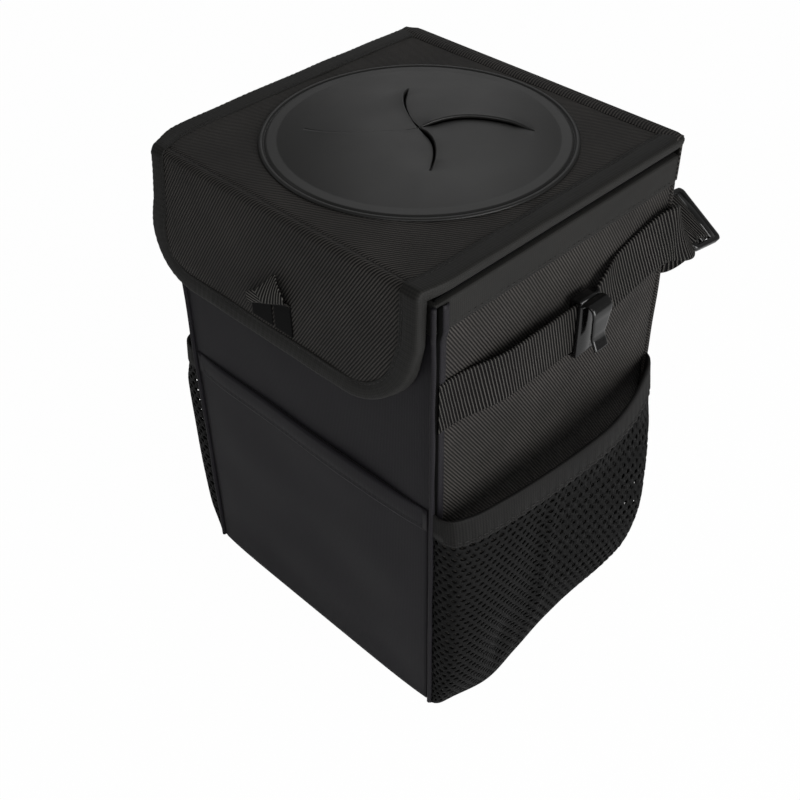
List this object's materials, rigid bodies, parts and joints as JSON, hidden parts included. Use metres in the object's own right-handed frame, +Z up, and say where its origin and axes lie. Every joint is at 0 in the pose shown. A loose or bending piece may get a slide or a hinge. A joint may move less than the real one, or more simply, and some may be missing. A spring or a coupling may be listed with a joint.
{
  "type": "car trash bin",
  "caption": "Boarded cloth car trash bin with a hinged lid, petal push-through cover, front flap, mesh side pockets and a hanging strap with sliding hooks.",
  "frame": {"origin": "centre of the base, on the surface the bin stands on", "axes": "+X right as seen from the front flap, +Y towards the back, +Z up"},
  "size_m": [0.2018, 0.1974, 0.2555],
  "materials": {
    "oxford_cloth": "coated twill weave, matt",
    "front_cloth": "fine satin weave",
    "lining_cloth": "plain weave, matt",
    "binding_tape": "ribbed tape",
    "webbing": "ribbed webbing",
    "net": "open knitted net",
    "pile_patch": "hook and loop pile",
    "board": "plain sheet",
    "liner_film": "leakproof film",
    "petal_rubber": "satin moulded sheet",
    "hook_plastic": "glossy moulding"
  },
  "bodies": {
    "bin": {"base_panel": "front_cloth", "front_panel": "front_cloth", "rear_panel": "oxford_cloth", "left_panel": "oxford_cloth", "right_panel": "oxford_cloth", "base_board": "board", "front_board": "board", "rear_board": "board", "left_board": "board", "right_board": "board", "liner": "liner_film", "rim_tape": "binding_tape", "front_pocket": "front_cloth", "front_pocket_hem": "binding_tape", "right_mesh_pocket": "net", "right_mesh_hem": "binding_tape", "left_mesh_pocket": "net", "left_mesh_hem": "binding_tape", "carry_strap": "webbing", "strap_slider": "hook_plastic", "loop_patch": "pile_patch", "hinge_strip": "oxford_cloth"},
    "lid": {"lid_panel": "oxford_cloth", "lid_board": "board", "lid_lining": "lining_cloth", "lid_tape_left": "binding_tape", "lid_tape_right": "binding_tape", "petal_cover": "petal_rubber"},
    "flap": {"flap_panel": "oxford_cloth", "flap_board": "board", "flap_lining": "lining_cloth", "flap_tape": "binding_tape", "pull_tab": "webbing", "hook_patch": "pile_patch"},
    "right_hook": {"right_hook": "hook_plastic"},
    "left_hook": {"left_hook": "hook_plastic"}
  },
  "joints": [
    {"name": "lid_hinge", "type": "hinge", "parent": "bin", "child": "lid", "pos_m": [0, 0.0763, 0.2433], "axis": [-1, 0, 0], "range_deg": [0, 180], "deforming": ["hinge_strip"]},
    {"name": "flap_hinge", "type": "hinge", "parent": "lid", "child": "flap", "pos_m": [0, -0.083, 0.249], "axis": [-1, 0, 0], "range_deg": [0, 180]},
    {"name": "right_hook_slide", "type": "slide", "parent": "bin", "child": "right_hook", "axis": [0, 1, 0], "range_m": [-0.034, 0]},
    {"name": "left_hook_slide", "type": "slide", "parent": "bin", "child": "left_hook", "axis": [0, 1, 0], "range_m": [-0.034, 0.026]}
  ]
}
